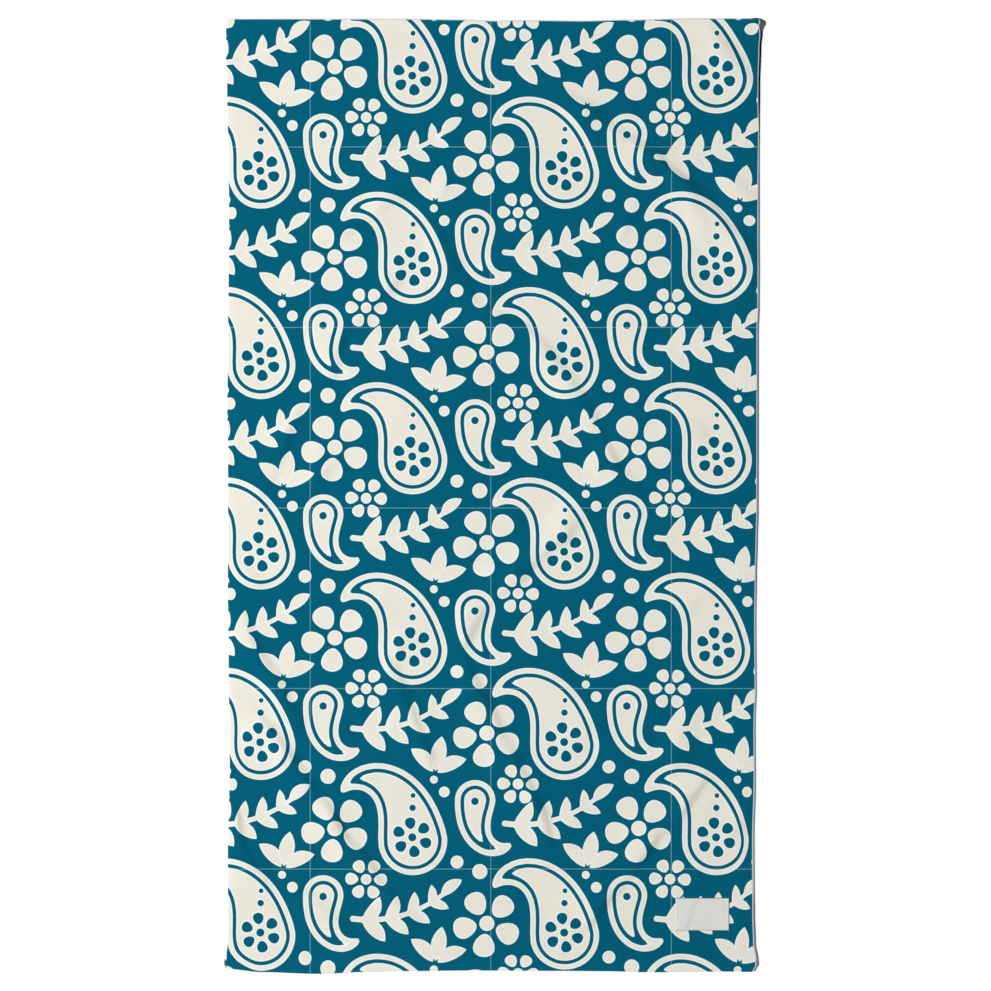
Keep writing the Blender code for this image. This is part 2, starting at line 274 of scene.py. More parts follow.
def storeFlat(piece, name, flat):
    # the cloth's flat place in metres, as the piece's own UV map
    corners = np.empty(len(piece.data.loops), dtype=np.int32)
    piece.data.loops.foreach_get("vertex_index", corners)
    places = (flat[corners] * toMetres).astype(np.float32).ravel()
    piece.data.uv_layers.new(name=name).data.foreach_set("uv", places)


def storeSlots(piece, *slots):
    # which of its materials each face takes
    piece.data.polygons.foreach_set("material_index", np.concatenate(slots).astype(np.int32))


def sheetLines(cloth):
    # grid lines across and along, in flat millimetres: close together in the rim and even inside it
    rim = np.array(cloth["rimLines"])
    for length, count in zip(cloth["size"], cloth["lines"]):
        even = rim[-1] + (length - 2 * rim[-1]) * np.arange(1, count) / count
        yield np.concatenate([rim, even, length - rim[::-1]]) - length / 2


def closedSheet(name, cloth, surfaces):
    # a face grid, and a back grid with every other line that shares the face's rim; a cell of the back
    # takes its four corners and those of the rim's points that lie between them
    linesX, linesY = sheetLines(cloth)
    faceX, faceY = np.meshgrid(linesX, linesY)
    index = np.arange(faceX.size).reshape(faceX.shape)
    faceCells = [index[:-1, :-1], index[:-1, 1:], index[1:, 1:], index[1:, :-1]]
    faceCells = np.stack(faceCells, axis=-1).reshape(-1, 4)
    cutOff = [len(linesX) - 2, 1 - len(linesX)]      # cells that would be split across the sheet's corner
    faceCells[cutOff] = np.roll(faceCells[cutOff], 1, axis=1)
    back = np.full(index.shape, -1)
    inner = back[2:-2:2, 2:-2:2]
    inner[:] = index.size + np.arange(inner.size).reshape(inner.shape)
    for side in (np.s_[0], np.s_[-1], np.s_[:, 0], np.s_[:, -1]):
        back[side] = index[side]
    near, between, far = np.s_[:-1:2], np.s_[1::2], np.s_[2::2]
    around = ((near, near), (between, near), (far, near), (far, between),
              (far, far), (between, far), (near, far), (near, between))
    backCells = np.stack([back[place] for place in around], axis=-1).reshape(-1, 8)
    flat = np.stack([np.concatenate([v.ravel(), v[2:-2:2, 2:-2:2].ravel()]) for v in (faceX, faceY)], 1)
    onFace = np.arange(len(flat)) < faceX.size
    x, y, low, top = surfaces(flat[:, 0], flat[:, 1])
    piece = meshFromFaces(name, np.stack([x, y, np.where(onFace, top, low)], 1), faceCells, backCells)
    return piece, flat, onFace, len(faceCells)


# the print: paisley drops, fronds, flowers and sprigs on a half-drop lattice; middles are (across, along)
design = {
    "cell": (276.0, 346.0), "origin": (-466.0, -873.0),
    "drops": [
        {"middle": (38.6, 118.8), "turn": 8.0, "foot": (0.0, -46.0),
         "radius": 62.0, "length": 205.0, "bend": 135.0,
         "flowers": [{"at": (0.0, -40.0), "inTurn": 30.0, "ring": (6, 37.0, 8.0, 6.5)}],
         "holes": [(8.0, 13.0, 6.5), (12.0, 35.0, 5.0)]},
        {"middle": (154.0, 114.9), "turn": -187.8, "foot": (0.0, -32.0),
         "radius": 36.0, "length": 132.0, "bend": 130.0, "flowers": [], "holes": [(0.0, -30.0, 7.5)]}],
    "dropPieces": 36, "dropCurl": 1.9, "dropTaper": (1.15, 0.85), "dropTip": 4.2, "dropCrest": (4.2, 0.45),
    "dropReach": -30.0,      # further out than this nothing is drawn from a drop
    # a ring has its number of petals, their reach, the eye, and the gap between
    "flowers": [
        {"middle": (179.7, 268.7), "turn": -25.2, "ring": (5, 61.0, 13.0, 7.0)},
        {"middle": (236.4, 176.3), "turn": -1.9, "ring": (6, 37.0, 9.0, 6.0)}],
    "petalWidth": 0.90, "petalFlare": 0.20, "petalLeast": 0.3, "petalEdge": 0.85,
    "frond": {
        "middle": (23.5, 283.1), "turn": 15.3, "length": 176.0, "bend": 46.0, "stem": 3.8, "taper": 0.4,
        "pairs": 4, "firstPair": 17.6, "everyPair": 42.2,
        "leaf": 54.0, "leafShrink": 6.5, "leafTurn": 48.0, "leafBow": -0.09, "leafJoin": 5.0,
        "tipLeaf": 46.0, "tipSunk": (5.0, 2.0), "tipBow": 3.0, "tipJoin": 4.0},
    "sprig": {
        "middle": (89.1, 214.5), "turn": -10.6, "bud": (0.0, -31.0, 6.5), "root": -20.0, "rootGap": 6.0,
        "leaves": [(90.0, 62.0, 0.0), (36.0, 56.0, 5.0), (144.0, 56.0, -5.0)]},    # turn, length, bow
    "leafWidth": 0.215,      # half width over length
    "dots": [(166.9, 17.0, 13.0), (125.4, 380.4, 11.0), (102.3, 161.7, 9.0)],
    "drawn": {"Ring Inset": 12.5, "Ring Line": 8.0, "Hole Inset": 18.0, "Spread": 0.6, "Bleed": 0.6},
    "bleedScale": 700.0, "softEdge": 0.25, "rimInset": 0.9, "rimFade": (0.5, 1.7, 1.0, 0.0),
}


def turned(x, y, degrees):
    # a place as it is seen from a motif that is turned so far
    c, s = math.cos(math.radians(degrees)), math.sin(math.radians(degrees))
    return c * x + s * y, c * y - s * x


def insideDrop(x, y, drop):
    # distance inside a disc carried along a path that bends more and more, and shrinks to a small tip;
    # the distance rises to a rounded crest along the path, so that what is drawn from it ends cleanly
    x, y = x - drop["foot"][0], y - drop["foot"][1]
    pieces, tip = design["dropPieces"], design["dropTip"]
    share = np.linspace(0, 1, pieces + 1)
    angle = np.radians(90 + drop["bend"] * share[1:] ** design["dropCurl"])
    steps = np.stack([np.cos(angle), np.sin(angle)], 1) * drop["length"] / pieces
    path = np.concatenate([[(0.0, 0.0)], np.cumsum(steps, axis=0)])
    narrow, full = design["dropTaper"]
    radii = tip + (drop["radius"] - tip) * (1 - share ** narrow) ** full
    highest, crestShare = design["dropCrest"]
    inside = np.full(x.shape, -np.inf)
    for k in range(pieces):
        ahead, away, _ = besideStep(x, y, path[k], path[k + 1])
        radius = radii[k] + (radii[k + 1] - radii[k]) * ahead
        crest = np.minimum(highest, crestShare * radius)
        inside = np.maximum(inside, np.hypot(radius, crest) - np.hypot(away, crest))
    return inside


def storePrint(piece, flatX, flatY):
    # the place in the print, and the distance inside the nearest drop, which the shader draws the rest from
    x, y = flatX - design["origin"][0], flatY - design["origin"][1]
    width, height = design["cell"]
    inside = np.full(len(x), design["dropReach"])
    for drop in design["drops"]:
        offX, offY = x - drop["middle"][0], y - drop["middle"][1]
        column = np.round(offX / width)
        offY = offY - column * height / 2
        place = turned(offX - column * width, offY - np.round(offY / height) * height, drop["turn"])
        inside = np.maximum(inside, insideDrop(*place, drop))
    storeVectors(piece, "printPlace", x, y, inside)


# the side hem's grey strip along the right edge, as (place along the towel, colour); its changes along the
# towel, down to near black near the top, are painted shade
sideStripShade = [
    (-866, (118, 116, 122)), (-745, (112, 110, 117)), (-720, (140, 148, 156)), (-200, (142, 150, 158)),
    (-170, (124, 126, 133)), (610, (122, 123, 130)), (655, (74, 71, 74)), (695, (62, 58, 60)),
    (715, (20, 20, 22)), (838, (24, 24, 27)), (850, (100, 100, 106)), (866, (44, 44, 48))]
# how far in it reaches, with the bare line beyond it
stripWidth = [
    (-866, 5.5), (-850, 5.0), (-835, 3.8), (-700, 3.4), (-300, 3.3), (0, 3.6), (560, 3.4), (660, 2.2),
    (715, 3.8), (830, 4.2), (846, 5.5), (851, 9.5), (869, 9.5)]
bareLine = [(-866, 2.1), (-700, 2.2), (-400, 1.5), (0, 1.3), (600, 1.5), (700, 1.3), (869, 1.3)]
topStrip = [(440, -6.0), (462, -1.0), (468, 2.2), (482, 3.2)]
leftStrip = [(-866, 3.0), (-850, 2.4), (-842, -1.0), (-800, -6.0)]
topFold = [(-482, 1.6), (-300, 2.3), (0, 2.2), (300, 2.3), (482, 2.0)]
stripsStored = (-9, 9)       # the least and the most


def storeStrips(piece, flatX, flatY):
    # how far each point lies inside the side hem's dark strip, inside the bare line beyond it, and
    # inside the unprinted fold of the top hem
    halfWidth, halfLength = towelCloth["size"][0] / 2, towelCloth["size"][1] / 2
    fromRight, fromLeft, fromTop = halfWidth - flatX, halfWidth + flatX, halfLength - flatY
    strip = np.maximum(edgeOut(stripWidth, flatY) - fromRight, edgeOut(leftStrip, flatY) - fromLeft)
    strip = np.maximum(strip, edgeOut(topStrip, flatX) - fromTop)
    bare = edgeOut(stripWidth, flatY) + edgeOut(bareLine, flatY) - fromRight
    fold = edgeOut(topFold, flatX) - fromTop
    storeVectors(piece, "hemStrips", *(np.clip(inside, *stripsStored) for inside in (strip, bare, fold)))


def makeTowel():
    piece, flat, onFace, faceCells = closedSheet("terrySheet", towelCloth, clothSurfaces)
    storeFlat(piece, "clothFlat", flat)
    # the turned part of the hem shows the printed side underneath, so its pattern runs on round the edge
    flatX, flatY = flat.T
    fromSide, fromEnd = fromEdges(towelCloth, flatX, flatY)
    hemBack = ~onFace & (np.minimum(fromSide, fromEnd) < towelCloth["hemBack"])
    outX = np.where(hemBack & (fromSide <= fromEnd), 2 * fromSide, 0.0)
    outY = np.where(hemBack & (fromEnd < fromSide), 2 * fromEnd, 0.0)
    storePrint(piece, flatX + np.sign(flatX) * outX, flatY + np.sign(flatY) * outY)
    storeStrips(piece, flatX, flatY)
    # faces of the back, inside the hem, take the second material
    backX, backY = np.meshgrid(*((v[::2][1:] + v[::2][:-1]) / 2 for v in sheetLines(towelCloth)))
    inside = np.minimum(*fromEdges(towelCloth, backX.ravel(), backY.ravel())) > towelCloth["hemWidth"]
    storeSlots(piece, np.zeros(faceCells), inside)
    return piece


threadShape = {"sides": 5, "rings": (0.0, 0.2, 0.5, 0.8, 1.0), "thickness": (0.3, 0.88, 1.0, 0.88, 0.3)}
# each seam's distance from the edge, and its threads, sunk into the face and, where it shows, the back
hemSewing = {"inset": 20.6, "pitch": 4.2, "length": 3.3, "radius": 0.26, "arch": 0.22, "sunk": (0.1, 0.12)}
patchSewing = {"inset": 2.2, "pitch": 3.4, "length": 2.5, "radius": 0.17, "arch": 0.12, "sunk": (0.05,)}


def threadMesh(name, starts, ends, ups, sewing):
    # every stitch is a short thread: rings from start to end, thinner at both ends, arched in the middle
    along = ends - starts
    side = np.cross(along, ups)
    side /= np.linalg.norm(side, axis=1, keepdims=True)
    share = np.array(threadShape["rings"])[:, None]
    width = np.array(threadShape["thickness"])[:, None, None] * sewing["radius"]
    sides, rings, count = threadShape["sides"], len(share), len(starts)
    angle = 2 * np.pi * np.arange(sides)[:, None] / sides
    arch = sewing["arch"] * (1 - (2 * share - 1) ** 2)
    middle = starts[:, None] + along[:, None] * share + ups[:, None] * arch
    ringOut = side[:, None] * np.cos(angle) + ups[:, None] * np.sin(angle)
    points = middle[:, :, None] + ringOut[:, None] * width
    index = np.arange(rings * sides).reshape(rings, sides)
    beside = np.roll(index, -1, axis=1)
    quads = np.stack([index[:-1], index[1:], beside[1:], beside[:-1]], axis=-1).reshape(-1, 4)
    fan = np.array([(0, k, k + 1) for k in range(1, sides - 1)])
    caps = np.concatenate([fan, fan[:, [0, 2, 1]] + (rings - 1) * sides])
    offsets = np.arange(count)[:, None, None] * rings * sides
    faces = ((cells[None] + offsets).reshape(-1, cells.shape[1]) for cells in (quads, caps))
    return meshFromFaces(name, points.reshape(-1, 3), *faces), rings * sides, (len(quads), len(caps))


def rowOfStitches(cloth, sewing):
    # starts and ends of the stitches round a sheet, counterclockwise, in flat millimetres
    starts, ends = [], []
    corners = np.array([(-1, -1), (1, -1), (1, 1), (-1, 1), (-1, -1)])
    corners = corners * (np.array(cloth["size"]) / 2 - sewing["inset"])
    for here, there in zip(corners[:-1], corners[1:]):
        run = np.hypot(*(there - here))
        way = (there - here) / run
        count = int(run // sewing["pitch"])
        first = (np.arange(count) + 0.5)[:, None] * run / count - sewing["length"] / 2
        starts.append(here + way * first)
        ends.append(here + way * (first + sewing["length"]))
    return np.concatenate(starts), np.concatenate(ends)


def makeStitches(name, cloth, sewing, surfaces):
    # the face's stitches come first, then the back's, and each point's place on the flat sheet is given too
    layers = len(sewing["sunk"])
    starts, ends = (np.tile(places, (layers, 1)) for places in rowOfStitches(cloth, sewing))
    onFace = np.arange(len(starts)) < len(starts) // layers
    points = []
    for flat in (starts, ends):
        x, y, low, top = surfaces(*flat.T)
        height = np.where(onFace, top - sewing["sunk"][0], low + sewing["sunk"][-1])
        points.append(np.stack([x, y, height], 1))
    ups = np.zeros((len(starts), 3))
    ups[:, 2] = np.where(onFace, 1, -1)
    piece, each, faces = threadMesh(name, *points, ups, sewing)
    # where it is sewn on both sides, those of the back take the second material
    storeSlots(piece, *(np.repeat(~onFace, count) for count in faces))
    return piece, np.repeat((starts + ends) / 2, each, axis=0)


patchCloth = {
    "size": (97.0, 59.0), "middle": (376.5, -760.0), "thickness": 0.95, "nose": 0.5, "gap": 0.1,
    "border": 3.0, "step": 0.22, "stepWidth": 1.6,    # folded under, so the edge is double; its paler colour is partly painted highlight
    "lines": (72, 36), "rimLines": (0.0, 0.08, 0.2, 0.5, 1.0, 2.0, 3.0, 4.5, 5.5),
    # soft ridges across it: place at the lower and upper edge, height there, and the reach of each flank
    "puckers": [(-32.5, -19.0, 1.3, 0.6, 28.0, 7.5, 14.0), (40.0, 32.0, 0.0, 0.5, 24.0, 12.0, 12.0)],
    "seamGives": 0.4, "seamReach": 7.0,     # the seam holds them down this far in
}


def patchSurfaces(flatX, flatY):
    # the patch follows the towel, is a little thicker in its folded border, and is puckered by its seam
    inset = np.minimum(*fromEdges(patchCloth, flatX, flatY))
    x, y = flatX + patchCloth["middle"][0], flatY + patchCloth["middle"][1]
    low, top = foldedEdge(inset, patchCloth["thickness"], patchCloth["nose"])
    pastBorder = (inset - patchCloth["border"]) / patchCloth["stepWidth"] + 0.5
    top = top - patchCloth["step"] * smoothStep(pastBorder)
    # so far in from its edges the towel is only shifted from its flat place
    shiftX, shiftY = towelCloth["shift"]
    base = clothHeights(x - shiftX, y - shiftY, x, y)[1] + patchCloth["gap"]
    up = np.clip(flatY / patchCloth["size"][1] + 0.5, 0, 1)
    held = smoothStep((inset + patchCloth["seamGives"]) / patchCloth["seamReach"])
    for lowX, highX, lowHeight, highHeight, gentle, steepLow, steepHigh in patchCloth["puckers"]:
        away = flatX - lowX - (highX - lowX) * up
        steep = steepLow + (steepHigh - steepLow) * up
        ridge = smoothStep(1 - np.abs(away) / np.where(away < 0, gentle, steep))
        base = base + (lowHeight + (highHeight - lowHeight) * up) * ridge * held
    return x, y, base + low, base + top


class Wire:
    # a node's output to reckon with: every sum, product or the like adds a math node to its tree, and
    # wire["Name"] is another output of the same node
    def __init__(self, socket):
        self.socket = socket
        self.tree = socket.id_data

    def __getitem__(self, output):
        return Wire(self.socket.node.outputs[output])

    def __add__(self, other):
        return calc("ADD", self, other)

    def __sub__(self, other):
        return calc("SUBTRACT", self, other)

    def __rsub__(self, other):
        return calc("SUBTRACT", other, self)

    def __mul__(self, other):
        return calc("MULTIPLY", self, other)

    def __truediv__(self, other):
        return calc("DIVIDE", self, other)

    def __rtruediv__(self, other):
        return calc("DIVIDE", other, self)

    def __abs__(self):
        return calc("ABSOLUTE", self)


def fill(sockets, values):
    # each value is a number, a vector, a colour or another node's output
    for name, value in values.items():
        if isinstance(value, Wire):
            value.tree.links.new(value.socket, sockets[name])
        else:
            sockets[name].default_value = value


def startNode(tree, kind, **choices):
    node = tree.nodes.new(kind)
    for name, value in choices.items():
        setattr(node, name, value)
    return Wire(node.outputs[0])


def addNode(kind, inputs, **choices):
    # a node in the tree that its inputs come from
    tree = next(value.tree for value in inputs.values() if isinstance(value, Wire))
    wire = startNode(tree, kind, **choices)
    fill(wire.socket.node.inputs, inputs)
    return wire


def calc(operation, *values):
    return addNode("ShaderNodeMath", dict(enumerate(values)), operation=operation)


def union(shapes):
    # the distance inside shapes that are joined is the greatest of theirs
    return reduce(lambda joined, shape: calc("MAXIMUM", joined, shape), shapes)


def ramp(value, low, high, outLow=0.0, outHigh=1.0):
    inputs = {"Value": value, "From Min": low, "From Max": high, "To Min": outLow, "To Max": outHigh}
    return addNode("ShaderNodeMapRange", inputs, interpolation_type="SMOOTHSTEP")


def blend(share, first, second):
    return addNode("ShaderNodeMix", {0: share, 6: first, 7: second}, data_type="RGBA")[2]


def noise(vector, scale, detail=2.0, rough=0.5):
    inputs = {"Vector": vector, "Scale": scale, "Detail": detail, "Roughness": rough}
    return addNode("ShaderNodeTexNoise", inputs)


def lengthOf(first, second):
    return calc("SQRT", first * first + second * second)


def split(vector):
    parts = addNode("ShaderNodeSeparateXYZ", {0: vector})
    return parts[0], parts[1], parts[2]


def joinVector(first, second):
    return addNode("ShaderNodeCombineXYZ", {0: first, 1: second})


def offsetFrom(vector, middle):
    return addNode("ShaderNodeVectorMath", {0: vector, 1: middle}, operation="SUBTRACT")


def turnedBack(vector, turn):
    return addNode("ShaderNodeVectorRotate", {"Vector": vector, "Angle": turn * -1.0}, rotation_type="Z_AXIS")


def scaled(color, factor):
    return addNode("ShaderNodeVectorMath", {0: color[:3] if isinstance(color, tuple) else color, 3: factor},
                   operation="SCALE")


def shaded(color, shade, amount):
    # colour times 1 plus or minus amount
    return scaled(color, (shade - 0.5) * (2 * amount) + 1.0)


def mixed(first, second, share):
    return first * share + second * (1.0 - share)


def newGroup(name, inputs, outputs):
    # each label comes with its usual value, or with None for a vector
    group = bpy.data.node_groups.new(name, "ShaderNodeTree")
    for way, labels in (("INPUT", inputs), ("OUTPUT", outputs)):
        for label, value in labels.items():
            kind = "NodeSocketVector" if value is None else "NodeSocketFloat"
            socket = group.interface.new_socket(name=label, in_out=way, socket_type=kind)
            if value is not None:
                socket.default_value = value
    return group, startNode(group, "NodeGroupInput"), group.nodes.new("NodeGroupOutput").inputs


def useGroup(group, inputs):
    return addNode("ShaderNodeGroup", inputs, node_tree=group)


def buildMotifPlace():
    # the place seen from the nearest copy of a motif on the half-drop lattice
    group, ins, outs = newGroup("motifPlace", {"Place": None, "Middle": None, "Turn": 0.0}, {"Place": None})
    width, height = design["cell"]
    across, along, _ = split(offsetFrom(ins["Place"], ins["Middle"]))
    column = calc("ROUND", across / width)
    along = along - column * (height / 2)
    row = calc("ROUND", along / height)
    nearest = joinVector(across - column * width, along - row * height)
    fill(outs, {"Place": turnedBack(nearest, ins["Turn"])})
    return group


def buildPetalRing():
    # egg shapes round an eye, each wider outwards: the angle is folded into one petal's sector
    group, ins, outs = newGroup(
        "petalRing",
        {"Place": None, "Middle": None, "Turn": 0.0, "Petals": 6.0, "Reach": 40.0, "Eye": 8.0, "Gap": 6.0},
        {"Inside": 0.0})
    across, along, _ = split(turnedBack(offsetFrom(ins["Place"], ins["Middle"]), ins["Turn"]))
    out = lengthOf(across, along)
    sector = 2 * math.pi / ins["Petals"]
    angle = calc("ARCTAN2", along, across)
    angle = angle - calc("ROUND", angle / sector) * sector
    start = ins["Eye"] + ins["Gap"]
    half = (ins["Reach"] - start) * 0.5
    u = out * calc("COSINE", angle) - (start + half)
    v = out * calc("SINE", angle)
    width = u / half * design["petalFlare"] + design["petalWidth"]
    width = calc("MAXIMUM", width, design["petalLeast"])
    petal = (half - lengthOf(u, v / width)) * design["petalEdge"]
    fill(outs, {"Inside": calc("MAXIMUM", petal, ins["Eye"] - out)})
    return group


def buildLeafShape():
    # two arcs from the root to the tip; bow bends them both the same way, as a parabola
    group, ins, outs = newGroup(
        "leafShape", {"Place": None, "Root": None, "Turn": 0.0, "Length": 50.0, "Bow": 0.0}, {"Inside": 0.0})
    u, v, _ = split(turnedBack(offsetFrom(ins["Place"], ins["Root"]), ins["Turn"]))
    share = u / ins["Length"]
    v = v - share * (1.0 - share) * (ins["Bow"] * 4.0)
    u = u - ins["Length"] * 0.5
    half = design["leafWidth"]
    arc = (0.25 + half ** 2) / (2 * half)
    offset = abs(v) + ins["Length"] * (arc - half)
    fill(outs, {"Inside": ins["Length"] * arc - lengthOf(u, offset)})
    return group


def frondInside(place, frond, leafShape):
    # run along the stem's arc and distance off it; the pairs of leaves repeat along it and shrink to the tip
    radius = frond["length"] / math.radians(frond["bend"])
    across, along, _ = split(place)
    down = radius - along
    run = calc("ARCTAN2", across, down) * radius
    off = abs(lengthOf(across, down) - radius)
    past = calc("MAXIMUM", abs(run) - frond["length"] / 2, 0.0)
    width = run * (-frond["taper"] * frond["stem"] / frond["length"]) + frond["stem"]
    stem = width - lengthOf(off, past)
    run = run + (frond["length"] / 2 - frond["firstPair"])
    pair = calc("FLOOR", run / frond["everyPair"])
    pair = calc("MINIMUM", calc("MAXIMUM", pair, 0.0), frond["pairs"] - 1.0)
    size = pair * -frond["leafShrink"] + frond["leaf"]
    leaves = useGroup(leafShape, {
        "Place": joinVector(run - pair * frond["everyPair"], off), "Root": (0, 0, 0),
        "Turn": math.radians(frond["leafTurn"]), "Length": size, "Bow": size * frond["leafBow"]})
    angle = math.radians(frond["bend"] / 2)
    rootX = radius * math.sin(angle) - frond["tipSunk"][0]
    rootY = radius * (1 - math.cos(angle)) - frond["tipSunk"][1]
    tip = useGroup(leafShape, {
        "Place": place, "Root": (rootX, rootY, 0), "Turn": angle, "Length": frond["tipLeaf"],
        "Bow": frond["tipBow"]})
    stem = calc("SMOOTH_MAX", stem, leaves, frond["leafJoin"])
    return calc("SMOOTH_MAX", stem, tip, frond["tipJoin"])


def buildPrintGroup():
    # every motif's distance inside, joined; the cream shapes and their pale rim come from it
    inputs = {"Print Place": None, "Place": None, **design["drawn"]}
    group, ins, outs = newGroup("printLayout", inputs, {"Cream": 0.0, "Rim": 0.0})
    motifPlace, petalRing, leafShape = buildMotifPlace(), buildPetalRing(), buildLeafShape()

    def placeOf(motif):
        middle, turn = (*motif["middle"], 0), math.radians(motif.get("turn", 0.0))
        return useGroup(motifPlace, {"Place": ins["Print Place"], "Middle": middle, "Turn": turn})

    def disc(place, across, along, radius):
        away = {0: place, 1: (across, along, 0)}
        return radius - addNode("ShaderNodeVectorMath", away, operation="DISTANCE")["Value"]

    def flower(place, petals):
        middle, turn = (*petals.get("at", (0, 0)), 0), math.radians(petals.get("inTurn", 0.0))
        ring = dict(zip(("Petals", "Reach", "Eye", "Gap"), petals["ring"]))
        return useGroup(petalRing, {"Place": place, "Middle": middle, "Turn": turn, **ring})

    def holesInDrops():
        for drop in design["drops"]:
            place = placeOf(drop)
            yield from (flower(place, petals) for petals in drop["flowers"])
            yield from (disc(place, *hole) for hole in drop["holes"])

    def motifs():
        holes = union(holesInDrops())
        drops = split(ins["Print Place"])[2]
        ring = abs(drops - ins["Ring Inset"]) - ins["Ring Line"] * 0.5
        holes = calc("MINIMUM", holes, drops - ins["Hole Inset"])
        yield calc("MINIMUM", calc("MINIMUM", drops, ring), holes * -1.0)
        yield from (flower(placeOf(petals), petals) for petals in design["flowers"])
        yield frondInside(placeOf(design["frond"]), design["frond"], leafShape)
        sprig = design["sprig"]
        place = placeOf(sprig)
        yield disc(place, *sprig["bud"])
        for turn, length, bow in sprig["leaves"]:
            angle = math.radians(turn)
            root = (sprig["rootGap"] * math.cos(angle), sprig["rootGap"] * math.sin(angle) + sprig["root"], 0)
            leaf = {"Place": place, "Root": root, "Turn": angle, "Length": length, "Bow": bow}
            yield useGroup(leafShape, leaf)
        for across, along, radius in design["dots"]:
            yield disc(placeOf({"middle": (across, along)}), 0, 0, radius)

    wobble = noise(ins["Place"], design["bleedScale"]) - 0.5
    distance = union(motifs()) + ins["Spread"] + wobble * ins["Bleed"]
    soft = design["softEdge"]
    rim = ramp(abs(distance - design["rimInset"]), *design["rimFade"])
    fill(outs, {"Cream": ramp(distance, -soft, soft), "Rim": rim})
    return group


def buildPileGroup():
    # short terry pile: fine tips, soft tufts and a slow drift where the nap lies another way
    inputs = {"Place": None, **towelLook["backPile"]}
    group, ins, outs = newGroup("terryPile", inputs, {"Height": 0.0, "Shade": 0.0, "Drift": 0.0})
    place = ins["Place"]
    tips = noise(place, ins["Tip Scale"], rough=0.7)
    tufts = addNode("ShaderNodeTexVoronoi", {"Vector": place, "Scale": ins["Tuft Scale"], "Randomness": 0.8})
    tufts = 1.0 - tufts * tufts
    fill(outs, {
        "Height": tufts * ins["Tuft Depth"] + tips, "Shade": mixed(tips, tufts, towelLook["tipShare"]),
        "Drift": noise(place, ins["Drift Scale"], detail=3.0, rough=0.55)})
    return group


def buildYarnGroup():
    # fine diagonal bands of twisted yarn, or of a twill weave
    inputs = {"Place": None, **threadLook["twist"]}
    group, ins, outs = newGroup("yarnTwist", inputs, {"Height": 0.0, "Shade": 0.0})
    across, along, _ = split(ins["Place"])
    slope = across * ins["Bands"] + along * ins["Cross Bands"]
    bands = calc("SINE", slope * (2 * math.pi)) * 0.5 + 0.5
    grain = noise(ins["Place"], threadLook["grainScale"], detail=1.0)
    height = mixed(bands, grain, threadLook["bandHeight"])
    fill(outs, {"Height": height, "Shade": mixed(grain, bands, threadLook["grainShare"])})
    return group


def linear(red, green, blue):
    # screen colour, 0 to 255, as a linear one
    parts = [v / 255 for v in (red, green, blue)]
    return (*[v / 12.92 if v < 0.04045 else ((v + 0.055) / 1.055) ** 2.4 for v in parts], 1.0)


def newMaterial(name):
    material = bpy.data.materials.new(name)
    material.use_nodes = True
    return material, material.node_tree


def objectPlace(tree):
    return startNode(tree, "ShaderNodeTexCoord")["Object"]


def finishCloth(material, color, height, bump, depth, roughness, sheen, specular):
    normal = addNode("ShaderNodeBump", {"Height": height, "Strength": bump, "Distance": depth})
    fill(material.node_tree.nodes["Principled BSDF"].inputs, {
        "Base Color": color, "Normal": normal, "Roughness": roughness, "Sheen Weight": sheen,
        "Sheen Roughness": 0.45, "Specular IOR Level": specular})
    return material


def flatPlace(tree, uvMap):
    # the cloth's flat place, and its millimetres across and along
    place = startNode(tree, "ShaderNodeUVMap", uv_map=uvMap)
    across, along, _ = split(place)
    return place, across * 1000.0, along * 1000.0


towelLook = {
    "teal": linear(0, 93, 118), "cream": linear(232, 229, 216), "rim": linear(233, 242, 239),
    "hairline": linear(150, 190, 200), "hairlineEvery": 328.0, "hairlineAt": (-8.0, -22.0),
    "paleLine": linear(196, 208, 214), "fold": linear(224, 226, 222), "backCream": linear(226, 221, 209),
    "stripEdge": 0.3,        # half the softness of the strips' edges
    # each of these goes from one distance to another, and from one strength to another
    "hairlineFade": (0.3, 0.9, 0.55, 0.0), "groove": (0.3, 2.2, 1.0, 0.0),
    # painted shade along the left rim and where the top fold turns over
    "leftRim": (0.2, 1.8, 0.80, 1.0), "foldTurn": (0.3, 1.2, 0.86, 1.0),
    "hemEnds": (23.0, 28.0, 1.03, 1.0), "hemSide": (7.0, 13.0, 1.03, 1.0),
    "foldAt": -0.4, "grooveEnd": 2.0, "grooveDepth": 0.45, "dimple": 0.2,
    "pile": {"Tip Scale": 2600.0, "Tuft Scale": 1050.0, "Drift Scale": 11.0, "Tuft Depth": 0.35},
    "backPile": {"Tip Scale": 1100.0, "Tuft Scale": 460.0, "Drift Scale": 9.0, "Tuft Depth": 1.0},
    "tipShare": 0.6, "pileShade": 0.10, "backShade": 0.16, "driftShade": 0.03,
    "finish": {"bump": 0.6, "depth": 0.0004, "roughness": 0.93, "sheen": 0.03, "specular": 0.03},
    "backFinish": {"bump": 0.8, "depth": 0.0012, "roughness": 0.95, "sheen": 0.15, "specular": 0.12},
}
threadLook = {
    "twist": {"Bands": 1300.0, "Cross Bands": 1300.0},
    "grainScale": 2600.0, "bandHeight": 0.7, "grainShare": 0.6,
    "finish": {"bump": 0.5, "depth": 0.0001, "sheen": 0.1, "specular": 0.25},
}
layoutGroup, pileGroup, yarnGroup = buildPrintGroup(), buildPileGroup(), buildYarnGroup()


def nearestLine(value, offset, every):
    # distance to the nearest of evenly spaced lines; the steps added keep it above zero, a line in mid-step
    return abs(calc("MODULO", value + (10.5 * every - offset), every) - every / 2)


